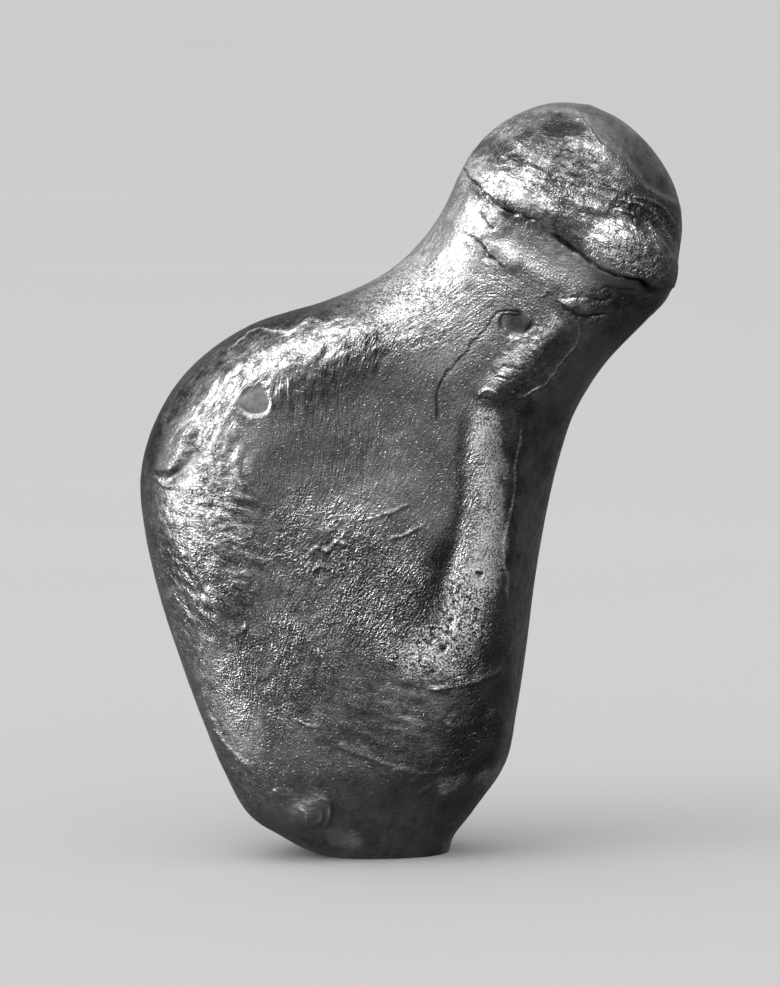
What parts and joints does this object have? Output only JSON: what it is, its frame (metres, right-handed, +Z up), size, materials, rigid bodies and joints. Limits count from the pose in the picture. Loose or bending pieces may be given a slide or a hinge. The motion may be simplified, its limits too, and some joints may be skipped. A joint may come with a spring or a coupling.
{
  "type": "iron meteorite",
  "caption": "Solid lump of nickel-iron: a broad, hollow-faced body on a small natural flat, narrowing to a bent neck with a round, overlapping head.",
  "frame": {"origin": "under the middle of the bounding box, on the surface that the small natural flat rests on", "axes": "+Z up, from the flat to the head; the hollow face looks along -Y; +X is to the right of that face"},
  "size_m": [0.027, 0.0138, 0.0375],
  "materials": {
    "nickel_iron": "bare dark-grey nickel-iron with fine melt grain, bright on its crests and smooth on its flanks"
  },
  "bodies": {
    "root": {"meteorite": "nickel_iron"}
  },
  "joints": []
}
